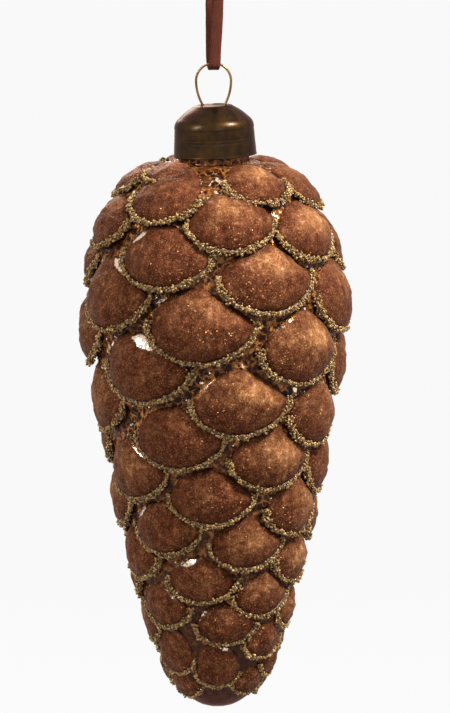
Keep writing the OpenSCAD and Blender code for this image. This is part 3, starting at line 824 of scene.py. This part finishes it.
def icosahedron():
    g = (1 + math.sqrt(5)) / 2
    points = [(-1, g, 0), (1, g, 0), (-1, -g, 0), (1, -g, 0), (0, -1, g), (0, 1, g),
              (0, -1, -g), (0, 1, -g), (g, 0, -1), (g, 0, 1), (-g, 0, -1), (-g, 0, 1)]
    tris = [(0, 11, 5), (0, 5, 1), (0, 1, 7), (0, 7, 10), (0, 10, 11), (1, 5, 9), (5, 11, 4),
            (11, 10, 2), (10, 7, 6), (7, 1, 8), (3, 9, 4), (3, 4, 2), (3, 2, 6), (3, 6, 8),
            (3, 8, 9), (4, 9, 5), (2, 4, 11), (6, 2, 10), (8, 6, 7), (9, 8, 1)]
    return unit(np.array(points)), np.array(tris)


def lower_edges(share):
    """Angles at shares of the way along every scale's lower edge, from its right end."""
    first, end = BAND_ENDS
    start = np.array([BAND_FROM.get(n, first) for n in numbers])[:, None]
    return np.radians(start + (end - start) * share)


def band_width(angle):
    """Radius of the band: uneven along a scale, thicker at some corners."""
    base = BAND_R * np.clip(radius_there[:, None] / 16, 0.8, 1.1)
    drawn = np.array([np.random.default_rng(100 + n).uniform(0, 6.28, 4) for n in numbers])
    slow, quick, corner, quickest = drawn.T[..., None]
    return base * (1 + 0.16 * np.sin(3.1 * angle + slow) + 0.14 * np.sin(7.3 * angle + quick)
                   + 0.08 * np.sin(17 * angle + quickest)
                   + 0.35 * np.cos(angle) ** 8 * np.sin(corner))


def band_line(angle, width):
    """Middle of the band at angles along the lower edges, the way out of it and across it."""
    def rim(at):
        c, v = outline(at, True)
        return on_scale(HALF_WIDTH * c, -DROP + DROP * v, edge_lift(at))
    step, centre = 0.02, np.zeros_like(angle)
    here = rim(angle)
    along = unit(rim(angle + step) - rim(angle - step))
    deep = unit(on_scale(centre, centre - DROP - UNDERCUT, -ROOT_DEPTH)
                - on_scale(centre, centre - DROP, TIP_LIFT))
    out = unit(np.cross(along, deep))
    from_centre = here - on_scale(centre, centre - DROP, edge_lift(angle))
    out = out * np.sign((out * from_centre).sum(-1, keepdims=True))
    middle = here + out * BAND_OUT * width[..., None] + deep * BAND_DEEP * width[..., None]
    return middle, out, np.cross(along, out)


def glue_lines(material):
    """Uneven line of glue along each scale's lower edge, and the lengths of these lines."""
    angle = lower_edges(np.linspace(0, 1, GLUE_STEPS))
    width = band_width(angle)
    middle, out, across = band_line(angle, width)
    taper = np.sqrt(np.clip(1 - np.abs(np.linspace(-1, 1, GLUE_STEPS)) ** 10, 0.02, 1))
    radius = (width * taper * GLUE_SHARE)[..., None, None]
    around = ring_angles(GLUE_SIDES)[:, None]
    tube = middle[:, :, None] + radius * (np.cos(around) * out[:, :, None]
                                          + np.sin(around) * across[:, :, None])
    tube = tube + 0.07 * lumps(tube, 0.9, 31)[..., None]
    points = np.concatenate([tube.reshape(count, -1, 3), middle[:, :1], middle[:, -1:]], 1)
    quads, tris = (repeated(faces, points.shape[1], count)
                   for faces in tube_faces(GLUE_STEPS, GLUE_SIDES))
    glue = mesh_piece("bead_glue", material, points.reshape(-1, 3), quads, tris)
    return glue, np.linalg.norm(np.diff(middle, axis=1), axis=-1).sum(1)


def loose_beads(material, lengths):
    """Beads strewn over the glue, as many on each scale as its line's length asks for."""
    most = int(lengths.max() * BEADS_PER_MM) + 1
    angle = lower_edges(rng.uniform(0, 1, (count, most)))
    used = np.arange(most)[None, :] < (lengths * BEADS_PER_MM)[:, None]
    width = band_width(angle)
    middle, out, across = band_line(angle, width)
    middle = middle + 0.22 * np.stack([lumps(middle, 2.2, seed) for seed in (41, 42, 43)], -1)
    around = rng.uniform(-0.9, 2.7, (count, most))[..., None]
    reach = (width * rng.uniform(0.55, 1.35, (count, most)))[..., None]
    place = (middle + reach * (np.cos(around) * out + np.sin(around) * across))[used]
    size = (BEAD_R * rng.uniform(0.7, 1.15, (count, most)))[used]
    tint = rng.beta(2.0, 2.2, (count, most))[used]
    shape, faces = icosahedron()
    points = shape[None] * size[:, None, None] + place[:, None]
    pieces = []
    for start in range(0, len(place), BEADS_PER_PIECE):
        here = slice(start, start + BEADS_PER_PIECE)
        pieces.append(mesh_piece(
            f"gold_beads_{len(pieces) + 1}", material, points[here].reshape(-1, 3), (),
            repeated(faces, len(shape), len(points[here])),
            {"tint": np.repeat(tint[here], len(shape))}))
    return pieces


def wire_eye(material):
    """The same line as the part's source, drawn round and smooth."""
    eye_r, wire_r = EYE_W / 2, WIRE_D / 2
    low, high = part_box("wire_hanger")
    top = high.z / MM - WIRE_D
    cap_top = top - EYE_H
    middle = eye_r + wire_r
    centre = np.array([0, top - eye_r])
    below = centre[1] - cap_top
    turn = 2 * math.atan((middle - HOLE_X) / below)
    side_r = below / math.sin(turn)
    upper = [centre + middle * np.array([math.sin(t), math.cos(t)])
             for t in np.linspace(0, math.pi / 2, 30)]
    side_centre = centre + [middle - side_r, 0]
    side = [side_centre + side_r * np.array([math.cos(t), -math.sin(t)])
            for t in np.linspace(0, turn, 24)[1:]]
    end = np.array([high.x / MM - wire_r, low.z / MM + wire_r])
    start = np.array([HOLE_X, cap_top - 0.2])
    leg = [start, start - [0, 0.9], start + 0.12 * (end - start) - [0.1, 0.4],
           start + 0.4 * (end - start), end]
    leg = smooth_line([(x, 0, z) for x, z in [side[-1]] + leg], 40)[1:, [0, 2]]
    half = np.vstack([upper, side, leg])
    line = np.vstack([half[::-1] * [-1, 1], half[1:]])
    line = np.stack([line[:, 0], 0 * line[:, 0], line[:, 1]], -1)
    points, quads, tris = swept(line, section(WIRE_D, WIRE_D, 16, 2.0), (0, 1, 0))
    return mesh_piece("brass_wire", material, points, quads, tris)


def bend(a, b, c, size, steps):
    """Rounded corner between two lines, as the part's source bends its cap."""
    start, end = b + size * unit(a - b), b + size * unit(c - b)
    t = np.linspace(0, 1, steps + 1)[:, None]
    return (1 - t)**2 * start + 2 * t * (1 - t) * b + t * t * end


def drilled_plate(ring, ring_start, start, downwards):
    """Flat plate inside a ring of points, with the two holes that the wire passes through."""
    turn = ring_angles(HOLE_SIDES)
    hole = WIRE_HOLE_R * np.stack([np.cos(turn), np.sin(turn)], -1)
    holes = np.vstack([hole + [x, 0] for x in (-HOLE_X, HOLE_X)])
    flat = np.vstack([ring[:, :2], holes])
    edges, first = [], 0
    for size in (len(ring), HOLE_SIDES, HOLE_SIDES):
        edges += [(first + k, first + (k + 1) % size) for k in range(size)]
        first += size
    made = delaunay_2d_cdt([Vector(p) for p in flat], edges, [], 0, 1e-6)
    own = np.array([source[0] for source in made[3]])
    tris = own[np.array(made[2])]
    part = np.where(tris < len(ring), -1, (tris - len(ring)) // HOLE_SIDES)
    tris = tris[~((part[:, 0] >= 0) & (part == part[:, :1]).all(1))]
    a, b, c = flat[tris[:, 0]], flat[tris[:, 1]], flat[tris[:, 2]]
    left = (b - a)[:, 0] * (c - a)[:, 1] > (b - a)[:, 1] * (c - a)[:, 0]
    tris[left == downwards] = tris[left == downwards][:, ::-1]
    tris = np.where(tris < len(ring), tris + ring_start, tris - len(ring) + start)
    return np.column_stack([holes, np.full(len(holes), ring[0, 2])]), tris


def cap_line():
    """Radii and heights of the cap, from the middle of its inside to the middle of its crown."""
    rim, shoulder, crown, middle = CAP_CORNERS
    skirt = np.linspace(0, 1, 40)[2:-1, None] * (shoulder - rim - [0, CAP_BENDS[0]]) + rim
    press_marks = [np.exp(-((skirt[:, 1] - height) / 0.12)**2) for height in (4.4, 3.6)]
    skirt[:, 0] -= 0.05 * (press_marks[0] + press_marks[1])
    first = bend(rim, shoulder, crown, CAP_BENDS[0], 14)
    second = bend(shoulder, crown, middle, CAP_BENDS[1], 10)
    run = unit(crown - shoulder)
    share = np.linspace(0, 1, 14)[1:-1, None]
    swell = 0.16 * np.sin(math.pi * share) * np.array([run[1], -run[0]])
    crown_slope = first[-1] + share * (second[0] - first[-1]) + swell
    rolled_rim = [(rim[0] - CAP_WALL, 0.12), (rim[0] - CAP_WALL / 2, 0), (rim[0] + 0.02, 0.06),
                  (rim[0] + 0.05, 0.2)]
    inside = [(4.0, 11.4), (8.7, 7.9)]
    return np.vstack([inside, rolled_rim, skirt, first, crown_slope, second])


def pressed_cap(material):
    """The part's cap, smoother: a rolled rim, two faint press marks and a crown that swells."""
    line, turn = cap_line(), ring_angles(CAP_SIDES)
    ring = np.stack([np.sin(turn), -np.cos(turn)], -1)
    heights = np.broadcast_to(line[:, None, 1:], (len(line), CAP_SIDES, 1))
    grid = np.concatenate([line[:, None, :1] * ring, heights], -1)
    outside = len(line) * CAP_SIDES
    plates = [drilled_plate(grid[row], row * CAP_SIDES, outside + k * 2 * HOLE_SIDES, k == 0)
              for k, row in enumerate((0, len(line) - 1))]
    x, y, z = np.vstack([grid.reshape(-1, 3)] + [plate[0] for plate in plates]).T
    tris = np.vstack([plate[1] for plate in plates])
    quads = [grid_quads(len(line), CAP_SIDES)]
    for hole in (0, HOLE_SIDES):
        low = outside + hole + np.arange(HOLE_SIDES)
        high = low + 2 * HOLE_SIDES
        quads.append(np.stack([low, np.roll(low, -1), np.roll(high, -1), high], -1)[:, ::-1])
    z = z + (CAP_RIM - CAP_PIVOT)
    leant = np.stack([x * math.cos(CAP_LEAN) - z * math.sin(CAP_LEAN), y,
                      x * math.sin(CAP_LEAN) + z * math.cos(CAP_LEAN) + CAP_PIVOT], -1)
    return mesh_piece("pressed_cap", material, leant, np.vstack(quads), tris)


# Room

def seen_directly(tree):
    """1 where the camera, a reflection or a view through glass looks, 0 for the light."""
    path = add(tree, "LightPath").outputs
    seen = larger(tree, path["Is Camera Ray"], path["Is Glossy Ray"])
    return larger(tree, seen, path["Is Transmission Ray"])


def pale_floor(tree):
    """Plain and pale, white where the camera or a reflection sees it, with soft shadows."""
    diffuse = add(tree, "BsdfDiffuse", Color=(0.82, 0.82, 0.82, 1)).outputs[0]
    white = add(tree, "Emission", Color=WHITE, Strength=1.0).outputs[0]
    return blended(tree, times(tree, seen_directly(tree), BACKGROUND), diffuse, white)


def add_floor():
    corners = [(x * FLOOR_HALF, y * FLOOR_HALF, GLASS_BOTTOM - FLOOR_BELOW)
               for x, y in ((-1, -1), (1, -1), (1, 1), (-1, 1))]
    floor = mesh_piece("floor", new_material("pale_floor", pale_floor), corners, [(0, 1, 2, 3)])


def add_world():
    world = bpy.data.worlds.new("studio")
    scene.world = world
    world.use_nodes = True
    tree = world.node_tree
    tree.nodes.clear()
    soft = add(tree, "Background", Color=WHITE, Strength=0.11).outputs[0]
    white = add(tree, "Background", Color=WHITE, Strength=1.0).outputs[0]
    add(tree, "OutputWorld", Surface=blended(tree, seen_directly(tree), soft, white))


def add_lamp(name, place, size, watts):
    """A soft rectangular lamp that faces the middle of the ornament."""
    data = bpy.data.lights.new(name, "AREA")
    data.shape = "RECTANGLE"
    data.size, data.size_y = size
    data.energy = watts
    lamp = bpy.data.objects.new(name, data)
    aim = Vector((0, 0, (GLASS_BOTTOM + BODY_H / 2) * MM))
    lamp.location = aim + Vector(place)
    lamp.rotation_euler = (aim - lamp.location).to_track_quat("-Z", "Y").to_euler()
    scene.collection.objects.link(lamp)


add_camera()
lace_and_knot(new_material("brown_suede", brown_suede))

bind(blown_glass(new_material("amber_glass", amber_glass)), "glass_cone")
bind(scale_pillows(new_material("coated_glass", coated_glass)), "glass_cone")

glue, glue_lengths = glue_lines(new_material("bead_glue", bead_glue))
for piece in [glue] + loose_beads(new_material("gold_beads", gold_beads), glue_lengths):
    bind(piece, "bead_edging")

bright = new_material("wire_brass", brass, (0.12, 0.062, 0.022), (0.3, 0.18, 0.072), 0.22, 0.02,
                      WHITE)
bind(wire_eye(bright), "wire_hanger")
dull = new_material("cap_brass", brass, (0.018, 0.0074, 0.001), (0.046, 0.021, 0.003), 0.36, 0.22,
                    (0.56, 0.42, 0.26, 1))
bind(pressed_cap(dull), "cap")

add_floor()
add_world()
for lamp in LAMPS:
    add_lamp(*lamp)
scene.view_settings.view_transform = "Standard"
